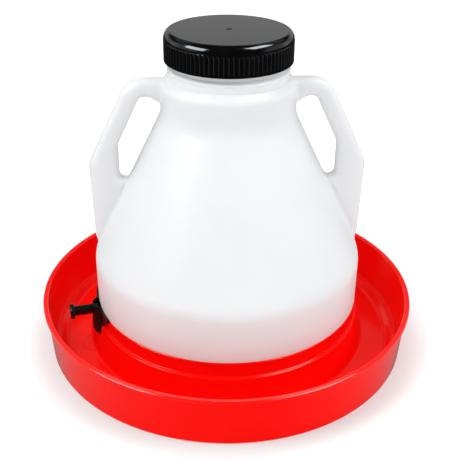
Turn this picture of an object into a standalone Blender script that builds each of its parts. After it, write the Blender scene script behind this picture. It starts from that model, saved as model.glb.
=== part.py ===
"""Poultry waterer: a blow-moulded jug with two hollow handles stands on a moulded trough.

The jug's stepped heel drops into a ring on the trough's pedestal. A screw cap with a sealing
liner closes the mouth. Water leaves through a bush low in the jug, behind a clip-on hood, and
a push plunger with a soft stopper shuts it off while the jug is filled from the top.

Metres, +Z up. The origin is on the axis, on the surface that the trough stands on, and the
handles lie along X.
"""

import math

import bmesh
import bpy
from mathutils import Matrix, Vector

# Jug: heights are stages, each from the top of the one below
BODY_RADIUS = 0.1480
BODY_HEIGHT = 0.0536
BODY_SHOULDER_ROUND = 0.0085
CONE_HEIGHT = 0.1600
COLLAR_RADIUS = 0.0702
COLLAR_HEIGHT = 0.0291
COLLAR_DRAFT = 0.0006
COLLAR_ROUND = 0.0100
SHOULDER_RADIUS = 0.0628
SHOULDER_HEIGHT = 0.0105
SHOULDER_ROUND = 0.0030
NECK_RADIUS = 0.0594
NECK_FILLET_HEIGHT = 0.0055
NECK_HEIGHT = 0.0350
BEAD_RISE = 0.0035
BEAD_SIZE = 0.0014
JUG_WALL = 0.0022
HEEL_STEP = 0.0055
FOOT_ROUND = 0.0020
BASE_PUSH_UP = 0.0070
BASE_RING_WIDTH = 0.0130
BASE_SLOPE_WIDTH = 0.0100

# Handles
ARM_RISE = 0.0073
GRIP_WIDTH = 0.0195
GRIP_DEPTH = 0.0206
WEB_WIDTH = 0.0314
WEB_DEPTH = 0.0230
WEB_TAPER = 0.0016
WEB_FOOT = 0.0130
WEB_SINK = 0.0100
BEND_INNER_RADIUS = 0.0080
BEND_SHARE = 0.206
ARM_FILLET = 0.0135
ARM_FILLET_DROP = 0.0076
HOLE_FOOT_WIDTH = 0.0134
HOLE_BOTTOM_ROUND = 0.0062
SECTION_POWER = 0.8

# Trough
TROUGH_REACH = 0.0620
RIM_WIDTH = 0.0056
RIM_OVERHANG = 0.0030
RIM_LIP_DROP = 0.0046
RIM_ROUND = 0.0020
TROUGH_HEIGHT = 0.0575
TROUGH_DRAFT = 0.0034
TROUGH_WALL = 0.0028
TROUGH_FLOOR = 0.0030
TROUGH_LEDGE_HEIGHT = 0.0095
TROUGH_LEDGE_WIDTH = 0.0048
TROUGH_COVE = 0.0065
PEDESTAL_HEIGHT = 0.0375
PEDESTAL_STEP = 0.0029
PEDESTAL_DRAFT = 0.0053
PEDESTAL_ROUND = 0.0012
RING_OVERSIZE = 0.0003
RING_WALL = 0.0024
RING_HEIGHT = 0.0180
NOTCH_HALF_WIDTH = 0.0121
NOTCH_FLOOR_CLEARANCE = 0.0010

# Cap and liner
CAP_THREAD_SPACE = 0.0040
CAP_WALL = 0.0024
CAP_TOP_THICKNESS = 0.0030
CAP_HEIGHT = 0.0304
CAP_CROWN = 0.0072
CAP_CROWN_INSET = 0.0043
CAP_RIB_COUNT = 80
CAP_RIB_DEPTH = 0.0006
CAP_BAND_HEIGHT = 0.0022
CAP_GATE_RADIUS = 0.0022
CAP_GATE_DEPTH = 0.0008
LINER_THICKNESS = 0.0015
LINER_CLEARANCE = 0.0012

# Outlet and valve, worked out along +X and then turned about the jug's axis
VALVE_AZIMUTH = math.radians(-166.5)
VALVE_DROP = 0.0045
BOSS_RADIUS = 0.0082
BOSS_SETBACK = 0.0036
BUSH_RADIUS = 0.0062
BUSH_BORE_RADIUS = 0.0042
BUSH_MOUTH_CHAMFER = 0.0006
BUSH_FLANGE_RADIUS = 0.0086
BUSH_RECESS = 0.0026
BUSH_FLANGE_THICKNESS = 0.0022
HOOD_REACH = 0.0085
HOOD_RADIUS = 0.0128
HOOD_FOOT_REACH = 0.0018
HOOD_FOOT_RADIUS = 0.0270
HOOD_WALL = 0.0017
HOOD_RISE = 0.0023
HOOD_HEIGHT = 0.0308
WING_THICKNESS = 0.0018
WING_HALF_SPAN = 0.0368
WING_RISE = 0.0012
WING_END_HEIGHT = 0.0042
WING_ROOT_HEIGHT = 0.0225
CLIP_DROP = 0.0010
CLIP_THICKNESS = 0.0018
CLIP_REACH = 0.0050
PLUNGER_RADIUS = 0.0055
KNOB_CLEARANCE = 0.0226
KNOB_RADIUS = 0.0086
KNOB_THICKNESS = 0.0043
KNOB_ROUND = 0.0011
NUB_RADIUS = 0.0026
NUB_LENGTH = 0.0016
STOPPER_RADIUS = 0.0050
STOPPER_THICKNESS = 0.0028
STOPPER_BEVEL = 0.0006

# Fits
SEAT_GAP = 0.0003
SLIDE_GAP = 0.0003
HOOD_GAP = 0.0004
CLIP_GAP = 0.0007

# Heights and radii that follow from these
RIM_RADIUS = BODY_RADIUS + TROUGH_REACH
RING_RADIUS = BODY_RADIUS + RING_OVERSIZE
RING_TOP = PEDESTAL_HEIGHT + RING_HEIGHT
PEDESTAL_TOP_RADIUS = RING_RADIUS + PEDESTAL_STEP
PEDESTAL_BASE_RADIUS = PEDESTAL_TOP_RADIUS + PEDESTAL_DRAFT
TROUGH_BASE_RADIUS = RIM_RADIUS - RIM_OVERHANG - TROUGH_DRAFT
HEEL_RADIUS = BODY_RADIUS - HEEL_STEP
BODY_TOP = RING_TOP + SEAT_GAP + BODY_HEIGHT
COLLAR_BOTTOM = BODY_TOP + CONE_HEIGHT
COLLAR_TOP = COLLAR_BOTTOM + COLLAR_HEIGHT
SHOULDER_TOP = COLLAR_TOP + SHOULDER_HEIGHT
NECK_BOTTOM = SHOULDER_TOP + NECK_FILLET_HEIGHT
NECK_TOP = NECK_BOTTOM + NECK_HEIGHT
ARM_TOP = COLLAR_TOP + ARM_RISE
CONE_TAPER = (BODY_RADIUS - COLLAR_RADIUS) / CONE_HEIGHT
HOLE_CENTRE = BODY_TOP + (WEB_WIDTH + HOLE_FOOT_WIDTH) / CONE_TAPER
HOLE_BOTTOM = HOLE_CENTRE - HOLE_BOTTOM_ROUND
CAP_TOP = NECK_TOP + LINER_THICKNESS + 2 * SEAT_GAP + CAP_TOP_THICKNESS
CAP_INNER_RADIUS = NECK_RADIUS + CAP_THREAD_SPACE
CAP_RADIUS = CAP_INNER_RADIUS + CAP_WALL
VALVE_HEIGHT = RING_TOP - VALVE_DROP
BOSS_END = RING_RADIUS - BOSS_SETBACK
HOOD_TOP = RING_TOP + HOOD_RISE
WING_TOP = RING_TOP + WING_RISE
CLIP_TOP = RING_TOP - CLIP_DROP

# Facets
TROUGH_STEPS = 48
JUG_STEPS = 40
CAP_STEPS = 40
ROUND_STEPS = 20
SECTION_STEPS = 10
ARC_STEPS = 2
SMOOTH_ANGLE = math.radians(32)

RED = (0.90, 0.012, 0.004)
MILKY = (0.86, 0.88, 0.90)
BLACK = (0.012, 0.012, 0.013)
RUBBER = (0.020, 0.020, 0.021)
FOAM = (0.80, 0.80, 0.78)


def clear_scene():
    for thing in list(bpy.data.objects):
        bpy.data.objects.remove(thing)


def plastic(name, colour, roughness):
    material = bpy.data.materials.new(name)
    material.use_nodes = True
    shader = material.node_tree.nodes["Principled BSDF"]
    shader.inputs["Base Color"].default_value = (*colour, 1.0)
    shader.inputs["Roughness"].default_value = roughness
    shader.inputs["Metallic"].default_value = 0.0
    material.diffuse_color = (*colour, 1.0)
    return material


def object_from(name, bm, material=None):
    """Turns a bmesh into a named, smooth-shaded object with its faces outwards."""
    bmesh.ops.remove_doubles(bm, verts=bm.verts, dist=1e-6)
    bmesh.ops.recalc_face_normals(bm, faces=bm.faces)
    mesh = bpy.data.meshes.new(name)
    bm.to_mesh(mesh)
    bm.free()
    mesh.shade_smooth()
    mesh.set_sharp_from_angle(angle=SMOOTH_ANGLE)
    thing = bpy.data.objects.new(name, mesh)
    bpy.context.scene.collection.objects.link(thing)
    if material:
        mesh.materials.append(material)
    return thing


def arc(centre, radius, start, end, steps=ARC_STEPS):
    """Points of an arc in an (r, z) outline, angles in degrees."""
    points = []
    for step in range(steps + 1):
        angle = math.radians(start + (end - start) * step / steps)
        points.append((centre[0] + radius * math.cos(angle), centre[1] + radius * math.sin(angle)))
    return points


def rounded(corner, before, after, reach, steps=ARC_STEPS):
    """A corner of an outline, replaced by a curve that starts and ends reach away from it."""
    corner, before, after = Vector(corner), Vector(before), Vector(after)
    first = corner + (before - corner).normalized() * reach
    last = corner + (after - corner).normalized() * reach
    points = []
    for step in range(steps + 1):
        share = step / steps
        point = first.lerp(corner, share).lerp(corner.lerp(last, share), share)
        points.append((point.x, point.y))
    return points


def inset(outline, distance):
    """The open outline moved sideways by a distance, to its left as it runs."""
    moved = []
    points = [Vector(point) for point in outline]
    for index, point in enumerate(points):
        normals = []
        for first, second in ((index - 1, index), (index, index + 1)):
            if first >= 0 and second < len(points):
                run = (points[second] - points[first]).normalized()
                normals.append(Vector((-run.y, run.x)))
        mean = sum(normals, Vector((0.0, 0.0))).normalized()
        moved.append(point + mean * (distance / mean.dot(normals[0])))
    return [(point.x, point.y) for point in moved]


def turned(name, outline, steps, material=None, axis="Z"):
    """A closed (r, z) outline spun about the axis; for X the outline is (r, x)."""
    bm = bmesh.new()
    verts = [bm.verts.new((max(r, 0.0), 0.0, z)) for r, z in outline]
    edges = [bm.edges.new((a, b)) for a, b in zip(verts, verts[1:] + verts[:1])]
    bmesh.ops.spin(
        bm,
        geom=verts + edges,
        cent=(0.0, 0.0, 0.0),
        axis=(0.0, 0.0, 1.0),
        angle=math.tau,
        steps=steps,
        use_merge=True,
    )
    bmesh.ops.remove_doubles(bm, verts=bm.verts, dist=1e-6)
    bmesh.ops.dissolve_degenerate(bm, edges=bm.edges, dist=1e-7)
    if axis == "X":
        bmesh.ops.transform(bm, matrix=Matrix.Rotation(math.pi / 2, 4, "Y"), verts=bm.verts)
    return object_from(name, bm, material)


def prism(name, outline, low, high, plane, material=None):
    """A flat outline drawn out between two heights: plane XY along Z, or plane YZ along X."""
    bm = bmesh.new()
    lift = {"XY": lambda a, b: (a, b, low), "YZ": lambda a, b: (low, a, b)}[plane]
    way = {"XY": Vector((0, 0, 1)), "YZ": Vector((1, 0, 0))}[plane]
    face = bm.faces.new([bm.verts.new(lift(a, b)) for a, b in outline])
    grown = bmesh.ops.extrude_face_region(bm, geom=[face])
    moved = [item for item in grown["geom"] if isinstance(item, bmesh.types.BMVert)]
    bmesh.ops.translate(bm, vec=way * (high - low), verts=moved)
    return object_from(name, bm, material)


def box(name, low, high):
    outline = [(low[0], low[1]), (high[0], low[1]), (high[0], high[1]), (low[0], high[1])]
    return prism(name, outline, low[2], high[2], "XY")


def combine(target, tool, operation):
    """Adds a live Boolean to target and keeps the tool as a hidden cutter beside it."""
    tool.hide_render = True
    tool.display_type = "WIRE"
    boolean = target.modifiers.new(tool.name, "BOOLEAN")
    boolean.operation = operation
    boolean.object = tool
    boolean.solver = "EXACT"
    return target


def turn_to_valve(*things):
    for thing in things:
        thing.matrix_world = Matrix.Rotation(VALVE_AZIMUTH, 4, "Z") @ thing.matrix_world


def pedestal_face():
    """The outer face of the pedestal and its ring, from the trough's floor up."""
    base = (PEDESTAL_BASE_RADIUS, TROUGH_FLOOR)
    top = (PEDESTAL_TOP_RADIUS, PEDESTAL_HEIGHT)
    root = (RING_RADIUS, PEDESTAL_HEIGHT)
    return [base, *rounded(top, base, root, PEDESTAL_ROUND), root, (RING_RADIUS, RING_TOP)]


def trough_outline():
    """Closed section of the trough: its top side outwards from the axis, then its underside."""
    ring_inner = RING_RADIUS - RING_WALL
    lip_foot = TROUGH_HEIGHT - RIM_LIP_DROP
    slope = TROUGH_DRAFT / lip_foot
    wall_foot = TROUGH_BASE_RADIUS - TROUGH_WALL
    ledge_outer = wall_foot + slope * TROUGH_LEDGE_HEIGHT
    cove_top = (ledge_outer - TROUGH_LEDGE_WIDTH, TROUGH_LEDGE_HEIGHT)
    cove_foot = (cove_top[0] - TROUGH_COVE, TROUGH_FLOOR)
    rim_inner = RIM_RADIUS - RIM_WIDTH
    recess = TROUGH_LEDGE_HEIGHT - TROUGH_WALL
    top_side = [
        (0.0, PEDESTAL_HEIGHT),
        (ring_inner, PEDESTAL_HEIGHT),
        (ring_inner, RING_TOP),
        *reversed(pedestal_face()),
        cove_foot,
        cove_top,
        (ledge_outer, TROUGH_LEDGE_HEIGHT),
        (rim_inner, TROUGH_HEIGHT - RIM_ROUND / 2),
        (rim_inner + RIM_ROUND / 2, TROUGH_HEIGHT),
        *arc((RIM_RADIUS - RIM_ROUND, TROUGH_HEIGHT - RIM_ROUND), RIM_ROUND, 90, 0),
        (RIM_RADIUS, lip_foot),
        (RIM_RADIUS - RIM_OVERHANG, lip_foot),
    ]
    underside = [
        (TROUGH_BASE_RADIUS, 0.0),
        (wall_foot, 0.0),
        (wall_foot, recess),
        (cove_top[0], recess),
        (cove_foot[0], 0.0),
        (PEDESTAL_BASE_RADIUS - TROUGH_WALL, 0.0),
        (PEDESTAL_TOP_RADIUS - TROUGH_WALL, PEDESTAL_HEIGHT - TROUGH_WALL),
        (0.0, PEDESTAL_HEIGHT - TROUGH_WALL),
    ]
    return top_side + underside


def make_trough(material):
    trough = turned("trough", trough_outline(), TROUGH_STEPS, material)
    notch = box(
        "cut_outlet_notch",
        (RING_RADIUS - 2 * RING_WALL, -NOTCH_HALF_WIDTH, PEDESTAL_HEIGHT + NOTCH_FLOOR_CLEARANCE),
        (RING_RADIUS + RING_WALL, NOTCH_HALF_WIDTH, RING_TOP + RING_WALL),
    )
    turn_to_valve(notch)
    return combine(trough, notch, "DIFFERENCE")


def jug_face():
    """The jug's outer face, from the middle of its base to the top of its neck."""
    base = PEDESTAL_HEIGHT + SEAT_GAP
    shelf = RING_TOP + SEAT_GAP
    ring_inner = HEEL_RADIUS - BASE_RING_WIDTH
    foot = (BODY_RADIUS, shelf)
    body_top = (BODY_RADIUS, BODY_TOP)
    cone_top = (COLLAR_RADIUS, COLLAR_BOTTOM)
    collar_top = (COLLAR_RADIUS - COLLAR_DRAFT, COLLAR_TOP)
    shoulder = (SHOULDER_RADIUS, SHOULDER_TOP)
    neck_foot = (NECK_RADIUS, NECK_BOTTOM)
    bead = NECK_BOTTOM + BEAD_RISE
    return [
        (0.0, base + BASE_PUSH_UP),
        (ring_inner - BASE_SLOPE_WIDTH, base + BASE_PUSH_UP),
        (ring_inner, base),
        (HEEL_RADIUS - FOOT_ROUND, base),
        (HEEL_RADIUS, base + FOOT_ROUND),
        (HEEL_RADIUS, shelf),
        *rounded(foot, (HEEL_RADIUS, shelf), body_top, FOOT_ROUND, 2),
        *rounded(body_top, foot, cone_top, BODY_SHOULDER_ROUND),
        *rounded(cone_top, body_top, collar_top, COLLAR_ROUND),
        *rounded(collar_top, cone_top, shoulder, SHOULDER_ROUND, 2),
        *rounded(shoulder, collar_top, neck_foot, SHOULDER_ROUND / 2, 2),
        neck_foot,
        (NECK_RADIUS, bead - BEAD_SIZE),
        (NECK_RADIUS + BEAD_SIZE, bead),
        (NECK_RADIUS, bead + BEAD_SIZE),
        (NECK_RADIUS, NECK_TOP),
    ]


def jug_core():
    """The hollow of the jug: its outer face moved in by the wall, without the bead."""
    face = jug_face()
    plain = face[:-4] + face[-1:]
    inner = inset(plain, JUG_WALL)
    inner[0] = (0.0, inner[0][1])
    inner[-1] = (inner[-1][0], NECK_TOP + JUG_WALL)
    return inner


def handle_stations():
    """Pairs of points, inner and outer, on the handle's edges, from the collar down the web.

    Round the bottom of the finger hole the sections fan out, until the last one lies inside
    the jug's cone.
    """
    arm_bottom = ARM_TOP - GRIP_WIDTH
    bend_reach = BEND_SHARE * (BODY_RADIUS - COLLAR_RADIUS)
    bend_centre = Vector((COLLAR_RADIUS + bend_reach, arm_bottom - BEND_INNER_RADIUS))
    slope = math.atan(CONE_TAPER)
    along = Vector((math.sin(slope), -math.cos(slope)))
    outer_radius = BEND_INNER_RADIUS + GRIP_WIDTH
    pairs = []
    for share in (-1.0, 0.0, 0.25, 0.6, 1.0):
        x = COLLAR_RADIUS + share * ARM_FILLET
        drop = ARM_FILLET_DROP * min(1.0 - share, 1.0) ** 1.5
        pairs.append((Vector((x, arm_bottom - drop)), Vector((x, ARM_TOP))))
    for share in (0.0, 0.34, 0.67, 1.0):
        angle = math.pi / 2 - share * (math.pi / 2 - slope)
        ray = Vector((math.cos(angle), math.sin(angle)))
        pairs.append((bend_centre + BEND_INNER_RADIUS * ray, bend_centre + outer_radius * ray))
    inner_start, outer_start = pairs[-1]
    web_inner = BODY_RADIUS - WEB_WIDTH
    to_web = (web_inner - inner_start.x) / along.x
    to_wall = (BODY_RADIUS - outer_start.x) / along.x
    inner_kink = inner_start + to_web * along
    outer_kink = outer_start + to_wall * along
    hole = Vector((web_inner - HOLE_BOTTOM_ROUND, HOLE_CENTRE))
    hole_side = Vector((web_inner, HOLE_CENTRE))
    foot = Vector((BODY_RADIUS - WEB_TAPER, BODY_TOP + WEB_FOOT))
    pairs.append((inner_kink, outer_start + to_web * along))
    pairs.append((inner_kink.lerp(hole_side, 0.33), outer_start + (to_web + to_wall) / 2 * along))
    pairs.append((inner_kink.lerp(hole_side, 0.66), outer_kink))
    for degrees, share in ((0, 0.12), (35, 0.30), (65, 0.50), (95, 0.74), (130, 1.0)):
        angle = math.radians(degrees)
        ray = Vector((math.cos(angle), -math.sin(angle)))
        pairs.append((hole + HOLE_BOTTOM_ROUND * ray, outer_kink.lerp(foot, share)))
    sink = -WEB_SINK * Vector((math.cos(slope), math.sin(slope)))
    on_cone = Vector((BODY_RADIUS, BODY_TOP)) - along * (HOLE_BOTTOM - BODY_TOP) / math.cos(slope)
    pairs.append((on_cone + sink, Vector((BODY_RADIUS, BODY_TOP)) + sink))
    return pairs


def handle(name, wall, mirror):
    """One handle as a lofted solid; with a wall it is the hollow inside that handle.

    A section is rounded off towards both edges, and flat between where it is wide.
    """
    bm = bmesh.new()
    rings = []
    stations = handle_stations()
    for index, (inner, outer) in enumerate(stations):
        before = stations[max(index - 1, 0)]
        after = stations[min(index + 1, len(stations) - 1)]
        run = (outer - inner).normalized()
        wide = min(1.0, max(0.0, ((outer - inner).length - GRIP_WIDTH) / GRIP_WIDTH))
        depth = (GRIP_DEPTH + wide * (WEB_DEPTH - GRIP_DEPTH)) / 2 - wall
        inner_slant, outer_slant = (
            max(0.5, abs(run.cross((after[side] - before[side]).normalized()))) for side in (0, 1)
        )
        inner = inner + run * wall / inner_slant
        outer = outer - run * wall / outer_slant
        middle = (outer - inner).length / 2
        inner_cap = min(middle, (WEB_WIDTH / 2 - wall) / inner_slant)
        outer_cap = min(middle, (WEB_WIDTH / 2 - wall) / outer_slant)
        ring = []
        for step in range(SECTION_STEPS):
            angle = math.tau * (step + 0.5) / SECTION_STEPS
            across = math.copysign(abs(math.cos(angle)) ** SECTION_POWER, math.cos(angle))
            deep = math.copysign(abs(math.sin(angle)) ** SECTION_POWER, math.sin(angle))
            if across > 0:
                point = outer - run * outer_cap * (1 - across)
            else:
                point = inner + run * inner_cap * (1 + across)
            ring.append(bm.verts.new((mirror * point.x, depth * deep, point.y)))
        rings.append(ring)
    for ring, following in zip(rings, rings[1:]):
        for step in range(SECTION_STEPS):
            following_step = (step + 1) % SECTION_STEPS
            bm.faces.new((ring[step], ring[following_step], following[following_step], following[step]))
    bm.faces.new(rings[0])
    bm.faces.new(rings[-1])
    return object_from(name, bm)


def make_jug(material):
    outer = jug_face() + [(0.0, NECK_TOP)]
    core = jug_core()
    jug = turned("jug", outer, JUG_STEPS, material)
    boss = rod("add_outlet_boss", BOSS_RADIUS, HEEL_RADIUS - JUG_WALL / 2, BOSS_END)
    bore = rod("cut_outlet_bore", BUSH_RADIUS + SEAT_GAP, HEEL_RADIUS - 3 * JUG_WALL, BOSS_END + BUSH_RECESS)
    turn_to_valve(boss, bore)
    combine(jug, boss, "UNION")
    sides = (("right", 1), ("left", -1))
    for side, mirror in sides:
        combine(jug, handle(f"add_handle_{side}", 0.0, mirror), "UNION")
    combine(jug, turned("cut_hollow", core + [(0.0, core[-1][1])], JUG_STEPS), "DIFFERENCE")
    for side, mirror in sides:
        combine(jug, handle(f"cut_handle_{side}", JUG_WALL, mirror), "DIFFERENCE")
    return combine(jug, bore, "DIFFERENCE")


def rod(name, radius, start, end):
    """A cylinder along X at the valve's height."""
    outline = [(0.0, start), (radius, start), (radius, end), (0.0, end)]
    return at_valve_height(turned(name, outline, ROUND_STEPS, axis="X"))


def at_valve_height(thing):
    thing.matrix_world = Matrix.Translation((0.0, 0.0, VALVE_HEIGHT))
    return thing


def cap_skirt_outline():
    """Outer edge of the cap's skirt, with its grip ribs as flat-topped teeth."""
    points = []
    pitch = math.tau / CAP_RIB_COUNT
    for rib in range(CAP_RIB_COUNT):
        for share, radius in (
            (0.00, CAP_RADIUS - CAP_RIB_DEPTH),
            (0.40, CAP_RADIUS - CAP_RIB_DEPTH),
            (0.70, CAP_RADIUS),
        ):
            angle = (rib + share) * pitch
            points.append((radius * math.cos(angle), radius * math.sin(angle)))
    return points


def make_cap(material):
    """Screw cap: a turned shell, whose plain skirt gets a ribbed sleeve."""
    root = CAP_RADIUS - 2 * CAP_RIB_DEPTH
    bottom = CAP_TOP - CAP_HEIGHT
    band_top = bottom + CAP_BAND_HEIGHT
    rib_top = CAP_TOP - CAP_CROWN
    face_radius = CAP_RADIUS - CAP_CROWN_INSET
    crown = []
    for degrees in (0, 22, 45, 68, 90):
        angle = math.radians(degrees)
        x = face_radius + (root - face_radius) * math.cos(angle)
        crown.append((x, rib_top + CAP_CROWN * math.sin(angle)))
    outline = [
        (CAP_INNER_RADIUS, bottom),
        (CAP_RADIUS - CAP_RIB_DEPTH, bottom),
        (CAP_RADIUS, bottom + CAP_RIB_DEPTH),
        (CAP_RADIUS, band_top),
        (root, band_top + CAP_RIB_DEPTH),
        *crown,
        (CAP_GATE_RADIUS, CAP_TOP),
        (CAP_GATE_RADIUS / 2, CAP_TOP - CAP_GATE_DEPTH),
        (0.0, CAP_TOP - CAP_GATE_DEPTH),
        (0.0, CAP_TOP - CAP_TOP_THICKNESS),
        (CAP_INNER_RADIUS, CAP_TOP - CAP_TOP_THICKNESS),
    ]
    cap = turned("cap", outline, CAP_STEPS, material)
    sleeve = prism("add_grip_ribs", cap_skirt_outline(), bottom + CAP_BAND_HEIGHT / 2, rib_top, "XY")
    core = (root + CAP_INNER_RADIUS) / 2
    low = bottom - CAP_WALL
    core_outline = [(0.0, low), (core, low), (core, CAP_TOP), (0.0, CAP_TOP)]
    combine(sleeve, turned("cut_sleeve_core", core_outline, CAP_STEPS), "DIFFERENCE")
    return combine(cap, sleeve, "UNION")


def make_liner(material):
    top = CAP_TOP - CAP_TOP_THICKNESS - SEAT_GAP
    bottom = top - LINER_THICKNESS
    radius = CAP_INNER_RADIUS - LINER_CLEARANCE
    outline = [(0.0, bottom), (radius, bottom), (radius, top), (0.0, top)]
    return turned("cap_liner", outline, 2 * ROUND_STEPS, material)


def make_bush(material):
    """Outlet bush: its flange lies on the inside of the jug's heel, its mouth faces the stopper."""
    flange_end = HEEL_RADIUS - JUG_WALL - 2 * SEAT_GAP
    flange_start = flange_end - BUSH_FLANGE_THICKNESS
    outline = [
        (BUSH_BORE_RADIUS, flange_start),
        (BUSH_FLANGE_RADIUS, flange_start),
        (BUSH_FLANGE_RADIUS, flange_end),
        (BUSH_RADIUS, flange_end),
        (BUSH_RADIUS, BOSS_END - SEAT_GAP),
        (BUSH_BORE_RADIUS + BUSH_MOUTH_CHAMFER, BOSS_END - SEAT_GAP),
        (BUSH_BORE_RADIUS, BOSS_END - SEAT_GAP - BUSH_MOUTH_CHAMFER),
    ]
    bush = at_valve_height(turned("outlet_bush", outline, ROUND_STEPS, material, axis="X"))
    turn_to_valve(bush)
    return bush


def face_skin(name, gap, thickness):
    """A turned skin that follows the pedestal and its ring at a gap, up past the hood's top."""
    face = pedestal_face()
    face = face[:-1] + [(RING_RADIUS, HOOD_TOP + thickness)]
    near = inset(face, -gap)
    if thickness:
        return turned(name, near + list(reversed(inset(face, -gap - thickness))), 2 * TROUGH_STEPS)
    return turned(name, near + [(0.0, near[-1][1]), (0.0, near[0][1])], 2 * TROUGH_STEPS)


def hood_plan(height):
    """Centre and radius of the hood's round plan at a height: it flares towards its foot."""
    share = (HOOD_TOP - height) / HOOD_HEIGHT
    radius = HOOD_RADIUS + share * (HOOD_FOOT_RADIUS - HOOD_RADIUS)
    front = RING_RADIUS + HOOD_REACH + share * HOOD_FOOT_REACH
    return front - radius, radius


def flared(name, wall, low, high, material=None):
    """The hood's round body between two heights, or with a wall the space inside it."""
    bm = bmesh.new()
    rings = []
    for height in (low, high):
        centre, radius = hood_plan(height)
        ring = []
        for step in range(2 * ROUND_STEPS):
            angle = math.tau * step / (2 * ROUND_STEPS)
            x = centre + (radius - wall) * math.cos(angle)
            ring.append(bm.verts.new((x, (radius - wall) * math.sin(angle), height)))
        rings.append(ring)
    lower, upper = rings
    for step in range(2 * ROUND_STEPS):
        following = (step + 1) % (2 * ROUND_STEPS)
        bm.faces.new((lower[step], lower[following], upper[following], upper[step]))
    bm.faces.new(lower)
    bm.faces.new(upper)
    return object_from(name, bm, material)


def make_wing(side, sign):
    """One tapered wing of the hood, curved to lie along the pedestal's ring."""
    centre, radius = hood_plan(HOOD_TOP)
    middle = radius - HOOD_WALL / 2
    chord = math.sqrt(middle**2 - (RING_RADIUS + HOOD_GAP - centre) ** 2)
    root = chord - HOOD_WALL / 2
    outline = [
        (sign * root, WING_TOP - WING_ROOT_HEIGHT),
        (sign * chord, WING_TOP - WING_ROOT_HEIGHT),
        (sign * WING_HALF_SPAN, WING_TOP - WING_END_HEIGHT),
        (sign * WING_HALF_SPAN, WING_TOP),
        (sign * root, WING_TOP),
    ]
    wing = prism(f"add_wing_{side}", outline, centre - radius, centre + 2 * radius, "YZ")
    skin = face_skin(f"keep_wing_{side}", HOOD_GAP / 2, WING_THICKNESS + HOOD_GAP / 2)
    return combine(wing, skin, "INTERSECT")


def make_clip(side, sign):
    """One clip of the hood: a web through the ring's notch and a hook behind the ring."""
    outer = RING_RADIUS - RING_WALL - CLIP_GAP
    inner = outer - CLIP_THICKNESS
    edge = NOTCH_HALF_WIDTH - HOOD_GAP
    low = PEDESTAL_HEIGHT + NOTCH_FLOOR_CLEARANCE + HOOD_GAP
    ys = sorted((sign * (edge - CLIP_THICKNESS), sign * edge))
    web_end = RING_RADIUS + HOOD_GAP + WING_THICKNESS / 2
    web = box(f"add_clip_web_{side}", (inner, ys[0], low), (web_end, ys[1], CLIP_TOP))
    ys = sorted((sign * (edge - CLIP_THICKNESS), sign * (edge + CLIP_REACH)))
    hook = box(f"add_clip_hook_{side}", (inner - CLIP_THICKNESS, ys[0], low), (outer, ys[1], CLIP_TOP))
    band = [(inner, low), (outer, low), (outer, CLIP_TOP), (inner, CLIP_TOP)]
    combine(hook, turned(f"keep_clip_{side}", band, 2 * TROUGH_STEPS), "INTERSECT")
    combine(web, hook, "UNION")
    turn_to_valve(web, hook)
    return web


def make_hood(material):
    """Hood over the outlet: a flared half tube with two wings, clipped into the ring's notch."""
    bottom = HOOD_TOP - HOOD_HEIGHT
    tube = flared("valve_hood", 0.0, bottom, HOOD_TOP, material)
    hollow = flared("cut_hood_hollow", HOOD_WALL, bottom - HOOD_WALL, HOOD_TOP + HOOD_WALL)
    combine(tube, hollow, "DIFFERENCE")
    sides = (("front", 1), ("back", -1))
    for side, sign in sides:
        wing = make_wing(side, sign)
        turn_to_valve(wing)
        combine(tube, wing, "UNION")
    combine(tube, face_skin("cut_hood_clearance", HOOD_GAP, 0.0), "DIFFERENCE")
    for side, sign in sides:
        combine(tube, make_clip(side, sign), "UNION")
    front = RING_RADIUS + HOOD_REACH
    hole_start = front - HOOD_RADIUS
    hole = rod("cut_plunger_hole", PLUNGER_RADIUS + SLIDE_GAP, hole_start, front + HOOD_RADIUS)
    turn_to_valve(tube, hollow, hole)
    return combine(tube, hole, "DIFFERENCE")


def stopper_end():
    """Where the stopper's outer face stops, just clear of the hood's curved inside."""
    centre, radius = hood_plan(VALVE_HEIGHT + STOPPER_RADIUS)
    return centre + math.sqrt((radius - HOOD_WALL) ** 2 - STOPPER_RADIUS**2) - SLIDE_GAP


def make_plunger(material):
    """Plunger: a round rod with a disc knob, and a nub that carries the stopper."""
    start = stopper_end()
    knob_end = RIM_RADIUS - RIM_WIDTH - KNOB_CLEARANCE
    knob_start = knob_end - KNOB_THICKNESS
    outline = [
        (0.0, start - NUB_LENGTH),
        (NUB_RADIUS, start - NUB_LENGTH),
        (NUB_RADIUS, start + SEAT_GAP),
        (PLUNGER_RADIUS, start + SEAT_GAP),
        (PLUNGER_RADIUS, knob_start),
        *arc((KNOB_RADIUS - KNOB_ROUND, knob_start + KNOB_ROUND), KNOB_ROUND, -90, 0, 2),
        *arc((KNOB_RADIUS - KNOB_ROUND, knob_end - KNOB_ROUND), KNOB_ROUND, 0, 90, 2),
        (0.0, knob_end),
    ]
    plunger = at_valve_height(turned("valve_plunger", outline, ROUND_STEPS, material, axis="X"))
    turn_to_valve(plunger)
    return plunger


def make_stopper(material):
    """Soft stopper, pushed onto the plunger's nub."""
    end = stopper_end()
    start = end - STOPPER_THICKNESS
    outline = [
        (0.0, start),
        (STOPPER_RADIUS - STOPPER_BEVEL, start),
        (STOPPER_RADIUS, start + STOPPER_BEVEL),
        (STOPPER_RADIUS, end),
        (NUB_RADIUS + SEAT_GAP, end),
        (NUB_RADIUS + SEAT_GAP, end - NUB_LENGTH - SEAT_GAP),
        (0.0, end - NUB_LENGTH - SEAT_GAP),
    ]
    stopper = at_valve_height(turned("valve_stopper", outline, ROUND_STEPS, material, axis="X"))
    turn_to_valve(stopper)
    return stopper


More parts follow.
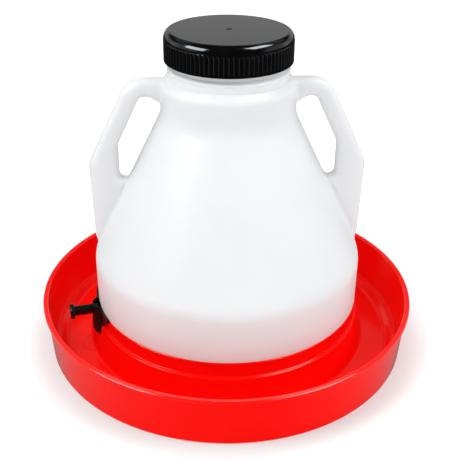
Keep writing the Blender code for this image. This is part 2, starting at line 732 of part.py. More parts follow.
clear_scene()
make_trough(plastic("red_plastic", RED, 0.22))
make_jug(plastic("milky_plastic", MILKY, 0.38))
make_cap(plastic("cap_plastic", BLACK, 0.25))
make_liner(plastic("liner_foam", FOAM, 0.80))
make_bush(plastic("bush_rubber", RUBBER, 0.65))
make_hood(plastic("hood_plastic", BLACK, 0.35))
make_plunger(plastic("plunger_plastic", BLACK, 0.32))
make_stopper(plastic("stopper_rubber", RUBBER, 0.65))
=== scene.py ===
"""The looks of a poultry waterer: fine surfaces, finishes, camera, floor and studio light.

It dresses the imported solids. Metres, +Z up, the handles along X, the camera on the -Y side.
"""

import math

import bmesh
import bpy
from mathutils import Matrix, Vector


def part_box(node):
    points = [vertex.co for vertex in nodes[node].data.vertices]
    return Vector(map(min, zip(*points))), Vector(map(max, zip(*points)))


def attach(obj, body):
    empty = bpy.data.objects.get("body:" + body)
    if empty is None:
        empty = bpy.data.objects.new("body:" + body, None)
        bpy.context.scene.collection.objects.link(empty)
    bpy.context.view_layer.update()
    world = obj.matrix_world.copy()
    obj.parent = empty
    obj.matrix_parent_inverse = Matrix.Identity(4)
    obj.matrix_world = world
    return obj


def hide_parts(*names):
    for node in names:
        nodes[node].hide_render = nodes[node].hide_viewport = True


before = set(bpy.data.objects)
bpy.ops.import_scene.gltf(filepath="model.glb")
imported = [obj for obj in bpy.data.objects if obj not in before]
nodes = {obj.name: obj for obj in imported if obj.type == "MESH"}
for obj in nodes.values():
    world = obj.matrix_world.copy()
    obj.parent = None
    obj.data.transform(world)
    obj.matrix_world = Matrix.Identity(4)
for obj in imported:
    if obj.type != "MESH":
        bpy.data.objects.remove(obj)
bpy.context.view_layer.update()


# Camera: the photograph's own viewpoint, found from the circles of the rim, the foot and the
# cap. The handles stand 3.5 degrees round from square to it.
camera_turn = math.radians(-3.5)
camera_pitch = math.radians(28.512)
camera_roll = math.radians(0.607)
camera_place = Vector((-0.0453, -0.7907, 0.5581))
camera_lens = 62.59

camera_data = bpy.data.cameras.new("camera")
camera_data.lens = camera_lens
camera_data.sensor_width = 36.0
camera = bpy.data.objects.new("camera", camera_data)
bpy.context.scene.collection.objects.link(camera)
camera.matrix_world = (
    Matrix.Translation(camera_place)
    @ Matrix.Rotation(camera_turn, 4, "Z")
    @ Matrix.Rotation(math.pi / 2 - camera_pitch, 4, "X")
    @ Matrix.Rotation(camera_roll, 4, "Z")
)
bpy.context.scene.camera = camera


# Trough: one injection moulding in glossy red polypropylene. Its hollow pedestal carries a
# low ring for the jug's heel, and the ring is notched where the outlet comes through.
rim_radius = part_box("trough")[1].x
trough_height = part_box("trough")[1].z
ring_radius = 0.1482
ring_top = 0.0548
ring_inner_radius = 0.1459
pedestal_top = 0.0375
pedestal_under = 0.0349
floor_top = 0.0030
ledge_under = 0.0069
foot_level = 0.0002
valve_turn = math.radians(-166.5)
valve_height = 0.0510


def fillet(before, corner, after, radius, steps):
    """Points of a true arc that rounds one corner of an outline."""
    to_before = (before - corner).normalized()
    to_after = (after - corner).normalized()
    half = to_before.angle(to_after) / 2
    reach = radius / math.tan(half)
    centre = corner + (to_before + to_after).normalized() * radius / math.sin(half)
    start = corner + to_before * reach - centre
    end = corner + to_after * reach - centre
    sweep = start.angle_signed(end)
    return [centre + Matrix.Rotation(-sweep * step / steps, 2) @ start for step in range(steps + 1)]


def rounded(corners, spacing=0.0):
    """An open outline of (r, z) or (r, z, fillet radius) corners, with long runs divided."""
    plain = [Vector(corner[:2]) for corner in corners]
    points = []
    for index, corner in enumerate(corners):
        if len(corner) > 2:
            steps = 4 if corner[2] < 0.0015 else 7
            points += fillet(plain[index - 1], plain[index], plain[index + 1], corner[2], steps)
        else:
            points.append(plain[index])
    if not spacing:
        return points
    divided = [points[0]]
    for first, last in zip(points, points[1:]):
        count = max(1, math.ceil((last - first).length / spacing))
        divided += [first.lerp(last, step / count) for step in range(1, count + 1)]
    return divided


def spun(points, steps):
    """A bmesh of an (r, z) outline, closed and spun about the axis."""
    bm = bmesh.new()
    verts = [bm.verts.new((point.x, 0.0, point.y)) for point in points]
    edges = [bm.edges.new(pair) for pair in zip(verts, verts[1:] + verts[:1])]
    bmesh.ops.spin(
        bm,
        geom=verts + edges,
        cent=(0, 0, 0),
        axis=(0, 0, 1),
        angle=math.tau,
        steps=steps,
        use_merge=True,
    )
    bmesh.ops.remove_doubles(bm, verts=bm.verts, dist=1e-6)
    bmesh.ops.dissolve_degenerate(bm, edges=bm.edges, dist=1e-7)
    bmesh.ops.recalc_face_normals(bm, faces=bm.faces)
    return bm


def piece(name, bm, smooth_angle=40):
    """Makes a bmesh an object of the scene, smooth but for its sharp edges."""
    mesh = bpy.data.meshes.new(name)
    bm.to_mesh(mesh)
    bm.free()
    mesh.shade_smooth()
    mesh.set_sharp_from_angle(angle=math.radians(smooth_angle))
    thing = bpy.data.objects.new(name, mesh)
    bpy.context.scene.collection.objects.link(thing)
    return thing


def carve(target, tool, operation):
    """Applies a Boolean to target and removes the tool."""
    boolean = target.modifiers.new("carve", "BOOLEAN")
    boolean.operation = operation
    boolean.object = tool
    boolean.solver = "EXACT"
    graph = bpy.context.evaluated_depsgraph_get()
    made = bpy.data.meshes.new_from_object(target.evaluated_get(graph))
    target.modifiers.clear()
    target.data = made
    bpy.data.objects.remove(tool)


def block(low, high):
    """A bmesh of a box between two corners."""
    bm = bmesh.new()
    bmesh.ops.create_cube(bm, size=1.0)
    size = Vector(high) - Vector(low)
    bmesh.ops.scale(bm, vec=size, verts=bm.verts)
    bmesh.ops.translate(bm, vec=Vector(low) + size / 2, verts=bm.verts)
    return bm


trough_outline = rounded(
    [
        (0.0, pedestal_top),
        (ring_inner_radius, pedestal_top, 0.0015),
        (ring_inner_radius, ring_top, 0.0008),
        (ring_radius + 0.0003, ring_top, 0.0005),
        (ring_radius + 0.0003, ring_top - 0.0024, 0.0004),
        (ring_radius - 0.0002, ring_top - 0.0030, 0.0004),
        (ring_radius - 0.0002, 0.0377, 0.0008),
        (0.1512, 0.0374, 0.0013),
        (0.1565, floor_top, 0.0050),
        (0.1870, floor_top, 0.0060),
        (0.1935, 0.0095, 0.0024),
        (0.1982, 0.0097, 0.0024),
        (0.2044, 0.0566, 0.0010),
        (0.2056, trough_height, 0.0008),
        (rim_radius, trough_height, 0.0017),
        (rim_radius, 0.0529, 0.0009),
        (0.2070, 0.0527, 0.0010),
        (0.2037, foot_level, 0.0012),
        (0.2009, foot_level, 0.0008),
        (0.2012, ledge_under, 0.0010),
        (0.1935, ledge_under, 0.0010),
        (0.1872, foot_level, 0.0010),
        (0.1540, foot_level, 0.0010),
        (0.1486, pedestal_under, 0.0030),
        (0.0, pedestal_under),
    ]
)
trough = piece("trough_dish", spun(trough_outline, 256))
notch_half_width = 0.0121
notch_bm = block((0.143, -notch_half_width, 0.0385), (0.1506, notch_half_width, 0.060))
to_valve = Matrix.Rotation(valve_turn, 3, "Z")
bmesh.ops.rotate(notch_bm, cent=(0, 0, 0), matrix=to_valve, verts=notch_bm.verts)
carve(trough, piece("notch", notch_bm), "DIFFERENCE")
trough.data.set_sharp_from_angle(angle=math.radians(40))


class Value:
    """A socket that takes part in sums, so that shader maths reads as plain expressions."""

    def __init__(self, tree, socket):
        self.tree = tree
        self.socket = socket

    def reckon(self, operation, first, second):
        """The outcome of one maths node on this socket's tree."""
        step = self.tree.nodes.new("ShaderNodeMath")
        step.operation = operation
        for slot, term in zip(step.inputs, (first, second)):
            if isinstance(term, Value):
                self.tree.links.new(term.socket, slot)
            else:
                slot.default_value = term
        return Value(self.tree, step.outputs[0])

    def __add__(self, other):
        return self.reckon("ADD", self, other)

    def __radd__(self, other):
        return self.reckon("ADD", other, self)

    def __sub__(self, other):
        return self.reckon("SUBTRACT", self, other)

    def __rsub__(self, other):
        return self.reckon("SUBTRACT", other, self)

    def __mul__(self, other):
        return self.reckon("MULTIPLY", self, other)

    def __rmul__(self, other):
        return self.reckon("MULTIPLY", other, self)

    def __pow__(self, other):
        return self.reckon("POWER", self, other)


class Finish:
    """A material with its Principled shader, and one way to add any node to it."""

    def __init__(self, name):
        self.material = bpy.data.materials.new(name)
        self.material.use_nodes = True
        self.tree = self.material.node_tree
        self.shader = self.tree.nodes["Principled BSDF"]
        self.place = self.node("ShaderNodeTexCoord", output="Object")

    def node(self, kind, sockets=(), output=0, **settings):
        """A node of any type, with its settings, then its sockets' values or links."""
        made = self.tree.nodes.new(kind)
        for name, setting in settings.items():
            setattr(made, name, setting)
        for name, value in dict(sockets).items():
            self.feed(made.inputs[name], value)
        return Value(self.tree, made.outputs[output])

    def feed(self, socket, value):
        if isinstance(value, Value):
            self.tree.links.new(value.socket, socket)
        else:
            socket.default_value = value

    def set(self, **values):
        for name, value in values.items():
            self.feed(self.shader.inputs[name.replace("_", " ")], value)

    def axis(self, name):
        """X, Y or Z of the piece's own coordinates, in metres."""
        return self.node("ShaderNodeSeparateXYZ", {"Vector": self.place}, output=name)

    def cloud(self, scale, detail=2.0):
        """Soft noise, from about 0.3 to 0.7, on the piece's own coordinates."""
        return self.node("ShaderNodeTexNoise", {"Vector": self.place, "Scale": scale, "Detail": detail})

    def ramp(self, value, low, high, to_low=0.0, to_high=1.0):
        """A smooth step of a value, clamped at both ends."""
        sockets = {"Value": value, 1: low, 2: high, 3: to_low, 4: to_high}
        return self.node("ShaderNodeMapRange", sockets, interpolation_type="SMOOTHSTEP")

    def blend(self, factor, first, second):
        """One colour faded into another; each is a tuple or a link."""
        ends = [end if isinstance(end, Value) else (*end, 1.0) for end in (first, second)]
        sockets = {"Factor": factor, 6: ends[0], 7: ends[1]}
        return self.node("ShaderNodeMix", sockets, output=2, data_type="RGBA")

    def relief(self, height, depth, strength=1.0, under=None):
        """A bump of a given depth in metres, on top of another if there is one."""
        sockets = {"Height": height, "Distance": depth, "Strength": strength}
        if under:
            sockets["Normal"] = under
        return self.node("ShaderNodeBump", sockets)


red = Finish("red_polypropylene")
flow = red.cloud(9.0, 3.0)
grain = red.cloud(700.0, 1.0)
pin_mark = Vector((-0.1505, -0.0344))
pin_mark_radius = 0.0165
trough_z = red.axis("Z")
from_mark = ((red.axis("X") - pin_mark.x) ** 2.0 + (red.axis("Y") - pin_mark.y) ** 2.0) ** 0.5
mark = red.ramp(from_mark, pin_mark_radius - 0.0004, pin_mark_radius + 0.0004)
mark_line = red.ramp(((from_mark - pin_mark_radius) ** 2.0) ** 0.5, 0.0003, 0.0009, 0.35, 0.0)
off_mark = 1.0 - mark_line * red.ramp(trough_z, floor_top + 0.0004, floor_top + 0.0010, 1.0, 0.0)
moulded = red.relief(mark, 0.0003, 1.0, red.relief(red.cloud(38.0, 2.0), 0.00004, 0.2))
red.set(
    Coat_Weight=red.ramp(trough_z, trough_height - 0.0050, trough_height - 0.0030, 0.0, 0.7),
    Base_Color=red.blend(
        off_mark,
        (0.60, 0.0020, 0.0006),
        red.blend(red.ramp(flow, 0.35, 0.65), (0.965, 0.0034, 0.0010), (0.950, 0.0028, 0.0008)),
    ),
    Roughness=red.ramp(red.cloud(24.0, 4.0), 0.3, 0.7, 0.11, 0.15),
    Normal=red.relief(grain, 0.00001, 0.2, moulded),
)
red.shader.inputs["Specular IOR Level"].default_value = 0.38
red.shader.inputs["Specular Tint"].default_value = (1.0, 0.93, 0.86, 1.0)
red.shader.inputs["Coat Roughness"].default_value = 0.06
trough.data.materials.append(red.material)
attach(trough, "base")
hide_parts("trough")


# Jug: blow-moulded in milky polyethylene about 2 mm thick, with two hollow handles that were
# pinched off from the same tube of plastic. It has a stepped heel below and a threaded neck.
body_radius = 0.1480
body_top = 0.1094
collar_radius = 0.0702
collar_bottom = 0.2694
collar_top = 0.2985
neck_radius = 0.0594
neck_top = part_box("jug")[1].z
heel_radius = 0.1425
heel_bottom = 0.0378
body_bottom = 0.0551
base_height = 0.0448
jug_wall = 0.0022
cone_slope = math.atan2(body_radius - collar_radius, collar_bottom - body_top)

jug_outer = rounded(
    [
        (0.0, base_height),
        (0.1195, base_height, 0.0060),
        (0.1295, heel_bottom, 0.0040),
        (heel_radius, heel_bottom, 0.0030),
        (heel_radius, body_bottom, 0.0008),
        (body_radius, body_bottom, 0.0006),
        (body_radius, body_top, 0.0330),
        (collar_radius, collar_bottom, 0.0420),
        (collar_radius - 0.0004, collar_top + 0.0020, 0.0110),
        (0.0646, 0.3072, 0.0008),
        (0.0632, 0.3080, 0.0006),
        (0.0620, 0.3138, 0.0008),
        (0.0628, 0.3150, 0.0006),
        (0.0628, 0.3168, 0.0006),
        (0.0612, 0.3180, 0.0008),
        (neck_radius, 0.3192, 0.0008),
        (neck_radius, neck_top, 0.0009),
        (0.0, neck_top),
    ],
    spacing=0.0045,
)
jug_hollow = rounded(
    [
        (0.0, neck_top + 0.0020),
        (neck_radius - jug_wall, neck_top + 0.0020),
        (neck_radius - jug_wall, 0.3160, 0.0030),
        (0.0620, 0.3055, 0.0030),
        (collar_radius - jug_wall, 0.2980, 0.0060),
        (collar_radius - jug_wall, 0.2688, 0.0400),
        (body_radius - jug_wall, 0.1088, 0.0310),
        (body_radius - jug_wall, 0.0580, 0.0012),
        (heel_radius - jug_wall, 0.0574, 0.0012),
        (heel_radius - jug_wall, 0.0400, 0.0020),
        (0.1308, 0.0400, 0.0040),
        (0.1203, base_height + jug_wall, 0.0060),
        (0.0, base_height + jug_wall),
    ],
    spacing=0.0120,
)
jug = piece("milky_jug", spun(jug_outer, 224))

arm_top = 0.3058
grip_width = 0.0195
grip_depth = 0.0206
web_width = 0.0314
web_depth = 0.0230
hole_round = 0.0062
hole_centre = Vector((body_radius - web_width - hole_round, 0.2015))
web_foot = Vector((0.1464, 0.1224))


def between(inner, outer, count):
    """Pairs of points spread evenly along two runs, one on each edge, without the last pair."""
    shares = [step / count for step in range(count)]
    return [(inner[0].lerp(inner[1], share), outer[0].lerp(outer[1], share)) for share in shares]


def handle_path():
    """Pairs of points on the handle's inner and outer edge, from the collar down to its foot."""
    down = Vector((math.sin(cone_slope), -math.cos(cone_slope)))
    outwards = Vector((math.cos(cone_slope), math.sin(cone_slope)))
    arm_bottom = arm_top - grip_width
    arm_reach = 0.0135
    throat_drop = 0.0076
    pairs = []
    for step in range(17):
        share = -1.0 + step / 8
        drop = throat_drop * min(1.0 - share, 1.0) ** 1.5
        x = collar_radius + share * arm_reach
        pairs.append((Vector((x, arm_bottom - drop)), Vector((x, arm_top))))
    bend_radius = 0.0080
    bend_steps = 14
    bend = Vector((collar_radius + 0.0160, arm_bottom - bend_radius))
    for step in range(bend_steps + 1):
        angle = math.pi / 2 - (math.pi / 2 - cone_slope) * step / bend_steps
        ray = Vector((math.cos(angle), math.sin(angle)))
        pairs.append((bend + bend_radius * ray, bend + (bend_radius + grip_width) * ray))
    inner, outer = pairs.pop()
    web_inner = body_radius - web_width
    hole_side = Vector((web_inner, hole_centre.y))
    inner_kink = inner + down * (web_inner - inner.x) / down.x
    outer_kink = outer + down * (body_radius + 0.0003 - outer.x) / down.x
    turn_steps = 8
    inner_turn = fillet(inner, inner_kink, hole_side, 0.014, turn_steps)
    outer_turn = fillet(outer, outer_kink, web_foot, 0.012, turn_steps)
    abreast = outer + down * (inner_turn[0] - inner).length
    past = outer + down * (inner_kink - inner).length
    pairs += between((inner, inner_turn[0]), (outer, abreast), 16)
    for step, point in enumerate(inner_turn):
        pairs.append((point, abreast.lerp(past, step / turn_steps)))
    mid_web = inner_turn[-1].lerp(hole_side, 0.4)
    low_web = inner_turn[-1].lerp(hole_side, 0.85)
    pairs += between((inner_turn[-1], mid_web), (past, outer_turn[0]), 6)[1:]
    for step, point in enumerate(outer_turn):
        pairs.append((mid_web.lerp(low_web, step / turn_steps), point))
    for step in range(1, 4):
        pairs.append((low_web.lerp(hole_side, step / 4), outer_turn[-1].lerp(web_foot, 0.02 * step)))
    hole_steps = 22
    hole_sweep = math.radians(132)
    for step in range(hole_steps + 1):
        angle = hole_sweep * step / hole_steps
        ray = Vector((math.cos(angle), -math.sin(angle)))
        share = 0.08 + 0.92 * (step / hole_steps) ** 1.15
        pairs.append((hole_centre + hole_round * ray, outer_turn[-1].lerp(web_foot, share)))
    sink_depth = 0.010
    sink = outwards * -sink_depth
    hole_height = hole_centre.y - hole_round
    on_cone = Vector((body_radius, body_top)) - down * (hole_height - body_top) / math.cos(cone_slope)
    last = (on_cone + sink, Vector((body_radius, body_top)) + sink)
    return pairs + between((pairs[-1][0], last[0]), (pairs[-1][1], last[1]), 4)[1:] + [last]


def handle(name, wall, mirror, points=40):
    """One handle, lofted through rounded sections; with a wall, the hollow inside it."""
    bm = bmesh.new()
    rings = []
    pairs = handle_path()
    for index, (inner, outer) in enumerate(pairs):
        before = pairs[max(index - 1, 0)]
        after = pairs[min(index + 1, len(pairs) - 1)]
        run = (outer - inner).normalized()
        wide = min(1.0, max(0.0, ((outer - inner).length - grip_width) / grip_width))
        wide = wide * wide * (3.0 - 2.0 * wide)
        depth = (grip_depth + wide * (web_depth - grip_depth)) / 2 - wall
        slants = [max(0.5, abs(run.cross((after[side] - before[side]).normalized()))) for side in (0, 1)]
        inner = inner + run * wall / slants[0]
        outer = outer - run * wall / slants[1]
        middle = (outer - inner).length / 2
        caps = [min(middle, (web_width / 2 - wall) / slant) for slant in slants]
        power = 0.74 - 0.12 * wide
        ring = []
        for step in range(points):
            angle = math.tau * (step + 0.5) / points
            across = math.copysign(abs(math.cos(angle)) ** power, math.cos(angle))
            deep = math.copysign(abs(math.sin(angle)) ** power, math.sin(angle))
            if across > 0:
                point = outer - run * caps[1] * (1 - across)
            else:
                point = inner + run * caps[0] * (1 + across)
            ring.append(bm.verts.new((mirror * point.x, depth * deep, point.y)))
        rings.append(ring)
    for first, second in zip(rings, rings[1:]):
        for step in range(points):
            following = (step + 1) % points
            bm.faces.new((first[step], first[following], second[following], second[step]))
    bm.faces.new(rings[0])
    bm.faces.new(rings[-1])
    bmesh.ops.recalc_face_normals(bm, faces=bm.faces)
    return piece(name, bm)


def valve_rod(radius, start, end):
    """A cylinder on the valve's axis, between two distances from the jug's axis."""
    bm = bmesh.new()
    bmesh.ops.create_cone(
        bm,
        cap_ends=True,
        segments=64,
        radius1=radius,
        radius2=radius,
        depth=end - start,
        matrix=Matrix.Rotation(valve_turn, 4, "Z")
        @ Matrix.Translation(((start + end) / 2, 0.0, valve_height))
        @ Matrix.Rotation(math.pi / 2, 4, "Y"),
    )
    return piece("rod", bm)


def near_handle(place):
    """Whether a point lies where a handle meets the jug."""
    return abs(place.x) > collar_radius * 0.9 and abs(place.y) < 0.02 and place.z > 0.09


outlet_boss_radius = 0.0082
outlet_bore_radius = 0.0065
recess_radius = 0.0062
carve(jug, valve_rod(outlet_boss_radius, 0.1420, 0.1447), "UNION")
for mirror in (1, -1):
    carve(jug, handle("handle", 0.0, mirror), "UNION")

jug_bm = bmesh.new()
jug_bm.from_mesh(jug.data)
bmesh.ops.remove_doubles(jug_bm, verts=jug_bm.verts, dist=0.00015)
crease_angle = math.radians(-18)
creases = [
    edge
    for edge in jug_bm.edges
    if edge.is_manifold
    and edge.calc_face_angle_signed(0.0) < crease_angle
    and all(near_handle(vert.co) for vert in edge.verts)
]
softened = {vert for edge in creases for vert in edge.verts}
for growth in range(2):
    softened |= {other for vert in softened for edge in vert.link_edges for other in edge.verts}
for repeat in range(12):
    bmesh.ops.smooth_vert(
        jug_bm,
        verts=list(softened),
        factor=0.5,
        use_axis_x=True,
        use_axis_y=True,
        use_axis_z=True,
    )
jug_bm.to_mesh(jug.data)
jug_bm.free()
carve(jug, piece("hollow", spun(jug_hollow, 112)), "DIFFERENCE")
for mirror in (1, -1):
    carve(jug, handle("hollow", jug_wall, mirror, 20), "DIFFERENCE")
carve(jug, valve_rod(outlet_bore_radius, 0.1360, 0.1473), "DIFFERENCE")
carve(jug, valve_rod(recess_radius, 0.1460, 0.1490), "DIFFERENCE")
jug.data.shade_smooth()
jug.data.set_sharp_from_angle(angle=math.radians(50))

milk = Finish("milky_polyethylene")
jug_y = milk.axis("Y")
mottle = milk.ramp(milk.cloud(14.0, 3.0), 0.3, 0.7)
# Painted light: towards the foot the base colour turns paler and bluer, which takes out part of the red glow
# that the trough throws up on the jug.
painted_light_near_foot = milk.ramp(milk.axis("Z"), 0.056, 0.125, 1.0, 0.0) ** 2.0
clear_white = milk.blend(mottle, (0.778, 0.792, 0.808), (0.800, 0.810, 0.822))
seam = milk.ramp((jug_y * jug_y) ** 0.5, 0.0001, 0.0005, 1.0, 0.0)
wavy = milk.relief(milk.cloud(26.0, 2.0), 0.0004, 0.22)
milk.set(
    Base_Color=milk.blend(painted_light_near_foot * 0.85, clear_white, (0.83, 0.97, 0.98)),
    Roughness=milk.ramp(milk.cloud(30.0, 3.0), 0.3, 0.7, 0.34, 0.40),
    Normal=milk.relief(milk.cloud(320.0, 2.0), 0.00002, 0.2, milk.relief(seam, 0.00015, 0.6, wavy)),
)
milk.shader.inputs["Subsurface Weight"].default_value = 0.35
milk.shader.inputs["Subsurface Radius"].default_value = (1.0, 0.85, 0.8)
milk.shader.inputs["Subsurface Scale"].default_value = 0.006
milk.shader.inputs["Specular IOR Level"].default_value = 0.28
jug.data.materials.clear()
jug.data.materials.append(milk.material)
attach(jug, "base")
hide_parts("jug")

thread_pitch = 0.0050
thread_turns = 1.5


def screw_thread(name, foot, crest, start):
    """A helical ridge that stands from one radius to another, closed at both ends."""
    bm = bmesh.new()
    profile = ((foot, -0.0012), (foot, 0.0012), (crest, 0.0004), (crest, -0.0004))
    verts = [bm.verts.new((radius, 0.0, start + height)) for radius, height in profile]
    end = bm.faces.new(verts)
    steps = round(thread_turns * 96)
    bmesh.ops.spin(
        bm,
        geom=verts + end.edges[:] + [end],
        cent=(0, 0, 0),
        axis=(0, 0, 1),
        dvec=(0, 0, thread_pitch * thread_turns / steps),
        angle=math.tau * thread_turns,
        steps=steps,
    )
    bmesh.ops.remove_doubles(bm, verts=bm.verts, dist=1e-6)
    bmesh.ops.recalc_face_normals(bm, faces=bm.faces)
    return piece(name, bm)


neck_thread = screw_thread("neck_thread", neck_radius - 0.0003, 0.0613, 0.3300)
neck_thread.data.materials.append(milk.material)
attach(neck_thread, "base")


# Cap: a screw cap moulded in black polypropylene, with grip ribs round its skirt, a polished
# domed shoulder and the small pit that the mould's gate leaves at the centre of its top.
cap_low, cap_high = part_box("cap")
cap_radius = cap_high.x
cap_top = cap_high.z
cap_bottom = cap_low.z
rib_count = 86
rib_depth = 0.0007
rib_top = cap_top - 0.0093
band_top = cap_bottom + 0.0024
steps_per_rib = 8
cap_bore_radius = 0.0634
cap_ceiling = 0.3516
gate_pit_radius = 0.0031
gate_pit_depth = 0.0024
shoulder_radius = cap_radius - 0.0002
shoulder_width = 0.0062
shoulder_height = 0.0088
shoulder_steps = 14
shoulder = []
for step in range(shoulder_steps + 1):
    angle = math.pi / 2 * (1.0 - step / shoulder_steps)
    reach = shoulder_radius - shoulder_width * (1.0 - math.cos(angle))
    shoulder.append((reach, cap_top - shoulder_height * (1.0 - math.sin(angle))))

cap_outline = rounded(
    [
        (0.0, cap_top - gate_pit_depth),
        (gate_pit_radius, cap_top, 0.0002),
        (0.0038, cap_top),
        (0.0595, cap_top),
        *shoulder,
        (shoulder_radius, rib_top + 0.0006),
        (cap_radius, rib_top),
        (cap_radius, rib_top - 0.0010),
        (cap_radius, (rib_top + band_top) / 2),
        (cap_radius, band_top + 0.0010),
        (cap_radius, band_top),
        (cap_radius, cap_bottom, 0.0007),
        (cap_bore_radius, cap_bottom, 0.0004),
        (cap_bore_radius, cap_ceiling, 0.0008),
        (0.0, cap_ceiling),
    ]
)
cap_bm = spun(cap_outline, rib_count * steps_per_rib)
for vert in cap_bm.verts:
    radius = vert.co.xy.length
    if radius > cap_radius - 0.0001 and band_top < vert.co.z < rib_top:
        phase = math.atan2(vert.co.y, vert.co.x) * rib_count
        wave = 0.5 - 0.5 * math.cos(phase)
        dip = rib_depth * wave**2.5
        vert.co.xy *= (radius - dip) / radius
cap = piece("ribbed_cap", cap_bm, 34)

black = Finish("black_polypropylene")
scuff = black.ramp(black.cloud(60.0, 5.0), 0.45, 0.7)
cap_x, cap_y, cap_z = [black.axis(name) for name in "XYZ"]
rib_phase = cap_y.reckon("ARCTAN2", cap_y, cap_x) * rib_count
# Painted highlight: a thin lighter line along one side of each rib of the skirt, as lamps catch the rib
# edges; these lines are also made rougher.
rib_glint_line = black.ramp(rib_phase.reckon("COSINE", rib_phase + 1.5, 0.0), 0.75, 0.95)
below_top = black.ramp(cap_z, rib_top - 0.0006, rib_top, 1.0, 0.0)
above_band = black.ramp(cap_z, band_top, band_top + 0.0005)
painted_rib_glint = rib_glint_line * below_top * above_band
from_centre = (cap_x * cap_x + cap_y * cap_y) ** 0.5
in_pit = black.ramp(from_centre, gate_pit_radius - 0.0002, gate_pit_radius + 0.0002, 0.7, 0.0)
plain_black = black.blend(scuff, (0.0014, 0.0014, 0.0016), (0.0024, 0.0024, 0.0027))
gentle = black.relief(black.cloud(30.0, 2.0), 0.0001, 0.08)
black.set(
    Base_Color=black.blend(painted_rib_glint, plain_black, (0.011, 0.011, 0.012)),
    Roughness=black.ramp(black.cloud(35.0, 4.0), 0.3, 0.7, 0.11, 0.15) + painted_rib_glint * 0.2 + in_pit,
    Normal=black.relief(black.cloud(500.0, 1.0), 0.00002, 0.2, gentle),
)
black.shader.inputs["Specular Tint"].default_value = (0.88, 0.94, 1.0, 1.0)
cap.data.materials.append(black.material)
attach(cap, "cap")
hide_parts("cap")

cap_thread = screw_thread("cap_thread", 0.0637, 0.0620, 0.3325)
cap_thread.data.materials.append(black.material)
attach(cap_thread, "cap")


# Cap liner: a disc of white foam that seals the jug's mouth under the cap.
foam = Finish("white_foam")
foam_patch = foam.ramp(foam.cloud(90.0, 3.0), 0.3, 0.7)
foam.set(
    Base_Color=foam.blend(foam_patch, (0.72, 0.72, 0.70), (0.80, 0.80, 0.78)),
    Roughness=foam.ramp(foam.cloud(300.0, 2.0), 0.3, 0.7, 0.75, 0.9),
    Normal=foam.relief(foam.cloud(900.0, 1.0), 0.0002, 0.6),
)


# Valve: the hood and the plunger are small black mouldings, and the outlet bush and the stopper
# are rubber. The hood clips into the ring's notch, and the plunger slides through it.
satin = Finish("satin_black")
satin_patch = satin.ramp(satin.cloud(80.0, 4.0), 0.4, 0.7)
satin.set(
    Base_Color=satin.blend(satin_patch, (0.0028, 0.0028, 0.0031), (0.0048, 0.0048, 0.0054)),
    Roughness=satin.ramp(satin.cloud(120.0, 3.0), 0.3, 0.7, 0.26, 0.36),
    Normal=satin.relief(satin.cloud(900.0, 1.0), 0.00003, 0.4),
)
satin.shader.inputs["Specular IOR Level"].default_value = 0.28

rubber = Finish("black_rubber")
rubber_patch = rubber.ramp(rubber.cloud(150.0, 3.0), 0.3, 0.7)
rubber.set(
    Base_Color=rubber.blend(rubber_patch, (0.010, 0.010, 0.010), (0.016, 0.016, 0.016)),
    Roughness=rubber.ramp(rubber.cloud(200.0, 2.0), 0.3, 0.7, 0.55, 0.7),
    Normal=rubber.relief(rubber.cloud(1200.0, 1.0), 0.00004, 0.5),
)

for node, finish in (
    ("cap_liner", foam),
    ("valve_hood", satin),
    ("valve_plunger", satin),
    ("valve_stopper", rubber),
    ("outlet_bush", rubber),
):
    nodes[node].data.materials.clear()
    nodes[node].data.materials.append(finish.material)


# Floor: a plain pale sweep that the trough stands on. To the camera it is white, but for the soft shadow
# round the trough, which a weaker glow close round the trough deepens as painted shade. Close to the trough
# a cyan base takes out its red glow, and a reddish glow puts part of it back as painted light. For diffuse
# rays the floor glows as painted bounce light, and in reflections it glows dark in front and brighter to the
# sides, as painted reflection.
floor_bm = bmesh.new()
bmesh.ops.create_grid(floor_bm, x_segments=1, y_segments=1, size=8.0)
bmesh.ops.translate(floor_bm, vec=(0, 0, -0.0004), verts=floor_bm.verts)
floor = piece("floor", floor_bm)
pale = Finish("pale_floor")
pale.shader.inputs["Specular IOR Level"].default_value = 0.0
to_camera = pale.node("ShaderNodeLightPath", output="Is Camera Ray")
to_gloss = pale.node("ShaderNodeLightPath", output="Is Glossy Ray")
to_matt = pale.node("ShaderNodeLightPath", output="Is Diffuse Ray")
aside = pale.axis("X")
along = pale.axis("Y")
spread = (aside * aside + along * along) ** 0.5
near = to_camera * pale.ramp(spread, 0.27, 0.40, 1.0, 0.0)
pale.set(Base_Color=pale.blend(near, (0.78, 0.78, 0.78), (0.45, 0.78, 0.78)), Roughness=0.9)
# Painted reflection: what glossy surfaces see of the floor glows, dark in front and brighter to the sides,
# and fades further out.
painted_reflection_level = pale.ramp((aside * aside) ** 0.5, 0.02, 0.30, 0.03, 0.38) * pale.ramp(spread, 0.40, 0.62, 1.0, 0.12)
# Painted shade: the floor's own glow to the camera is weaker close round the trough, which deepens its
# shadow there.
glow_with_painted_shade = pale.ramp(spread, 0.21, 0.25, 0.17, 0.31) + pale.ramp(spread, 0.35, 1.10, 0.0, 0.20)
# Painted bounce light: to diffuse rays the floor glows a little, so it lights the things above it.
own = to_camera * glow_with_painted_shade + to_matt * 0.28
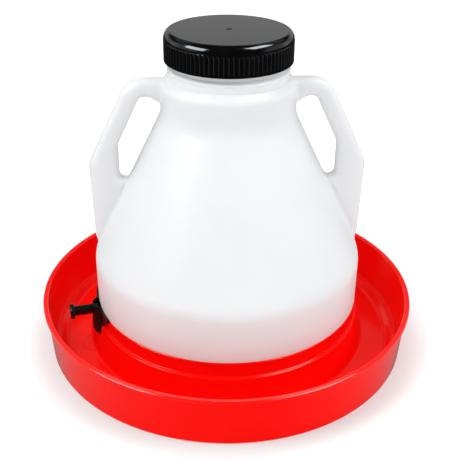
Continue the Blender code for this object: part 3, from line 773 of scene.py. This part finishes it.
# Painted red glow: close to the trough the glow is reddish, putting back part of the red that the cyan base
# takes out.
tint = pale.blend(near, (1.0, 1.0, 1.0), (2.2, 1.0, 1.0))
glow = pale.node("ShaderNodeEmission", {"Color": tint, "Strength": own})
reflected = pale.node("ShaderNodeEmission", {"Color": (1, 1, 1, 1), "Strength": painted_reflection_level})
both = pale.tree.nodes.new("ShaderNodeAddShader")
pale.tree.links.new(pale.shader.outputs[0], both.inputs[0])
pale.tree.links.new(glow.socket, both.inputs[1])
choice = pale.tree.nodes.new("ShaderNodeMixShader")
pale.tree.links.new(to_gloss.socket, choice.inputs["Fac"])
pale.tree.links.new(both.outputs[0], choice.inputs[1])
pale.tree.links.new(reflected.socket, choice.inputs[2])
pale.tree.links.new(choice.outputs[0], pale.tree.nodes["Material Output"].inputs["Surface"])
floor.data.materials.append(pale.material)


# Light: a bright room with soft boxes at both sides, overhead and in front. Two windows give
# the pair of highlights on the shoulders of the cap and the collar, and light nothing else.
def soft_box(name, place, aim, width, height, power):
    """A rectangular lamp that faces a point."""
    lamp = bpy.data.lights.new(name, "AREA")
    lamp.shape = "RECTANGLE"
    lamp.size = width
    lamp.size_y = height
    lamp.energy = power
    lamp_object = bpy.data.objects.new(name, lamp)
    bpy.context.scene.collection.objects.link(lamp_object)
    lamp_object.location = place
    lamp_object.rotation_euler = (Vector(aim) - Vector(place)).to_track_quat("-Z", "Y").to_euler()
    return lamp_object


target = (0.0, 0.0, 0.15)
soft_box("soft_box_left", (-0.82, -0.38, 1.46), target, 0.6, 0.5, 8.6).visible_glossy = False
soft_box("soft_box_right", (1.10, -0.42, 1.10), target, 0.6, 0.5, 5.6).visible_glossy = False
soft_box("soft_box_top", (0.0, 0.15, 1.60), target, 1.4, 1.2, 5.5).visible_glossy = False
soft_box("soft_box_front", (0.0, -1.7, 0.5), target, 1.8, 0.8, 2.6).visible_glossy = False
soft_box("window_left", (-1.21, -0.54, 1.03), target, 0.95, 0.60, 24.0).visible_diffuse = False
soft_box("window_right", (0.87, -0.32, 1.51), target, 1.00, 0.60, 27.0).visible_diffuse = False

world = bpy.data.worlds.new("room")
world.use_nodes = True
bpy.context.scene.world = world
room = world.node_tree.nodes["Background"]
room.inputs["Color"].default_value = (1.0, 1.0, 1.0, 1.0)
path = world.node_tree.nodes.new("ShaderNodeLightPath")
seen = Value(world.node_tree, path.outputs["Is Camera Ray"])
mirrored = Value(world.node_tree, path.outputs["Is Glossy Ray"])
through = Value(world.node_tree, path.outputs["Is Transmission Ray"])
shown = seen.reckon("MAXIMUM", seen, through)
where = world.node_tree.nodes.new("ShaderNodeTexCoord")
split = world.node_tree.nodes.new("ShaderNodeSeparateXYZ")
world.node_tree.links.new(where.outputs["Generated"], split.inputs["Vector"])


def smooth_step(value, low, high):
    """A smooth step from 0 to 1 of a socket of the room's tree."""
    step = world.node_tree.nodes.new("ShaderNodeMapRange")
    step.interpolation_type = "SMOOTHSTEP"
    world.node_tree.links.new(value, step.inputs["Value"])
    step.inputs[1].default_value = low
    step.inputs[2].default_value = high
    return Value(world.node_tree, step.outputs[0])


# The room as glossy surfaces see it: dark, but for two bands behind and the bright sides.
room_level = 0.665
back = smooth_step(split.outputs["Y"], 0.05, 0.45)
low_band = 1.0 - smooth_step(split.outputs["Z"], 0.31, 0.36)
high_band = smooth_step(split.outputs["Z"], 0.50, 0.56) * (1.0 - smooth_step(split.outputs["Z"], 0.75, 0.85))
across = Value(world.node_tree, split.outputs["X"])
sides = smooth_step(((across * across) ** 0.5).socket, 0.78, 0.92)
mirror_level = 0.03 + back * (low_band * 0.50 + high_band * 0.25) + sides * 0.60
unseen = room_level + mirrored * (mirror_level - room_level)
level = unseen + shown * (1.0 - unseen)
world.node_tree.links.new(level.socket, room.inputs["Strength"])

bpy.context.scene.view_settings.view_transform = "Standard"
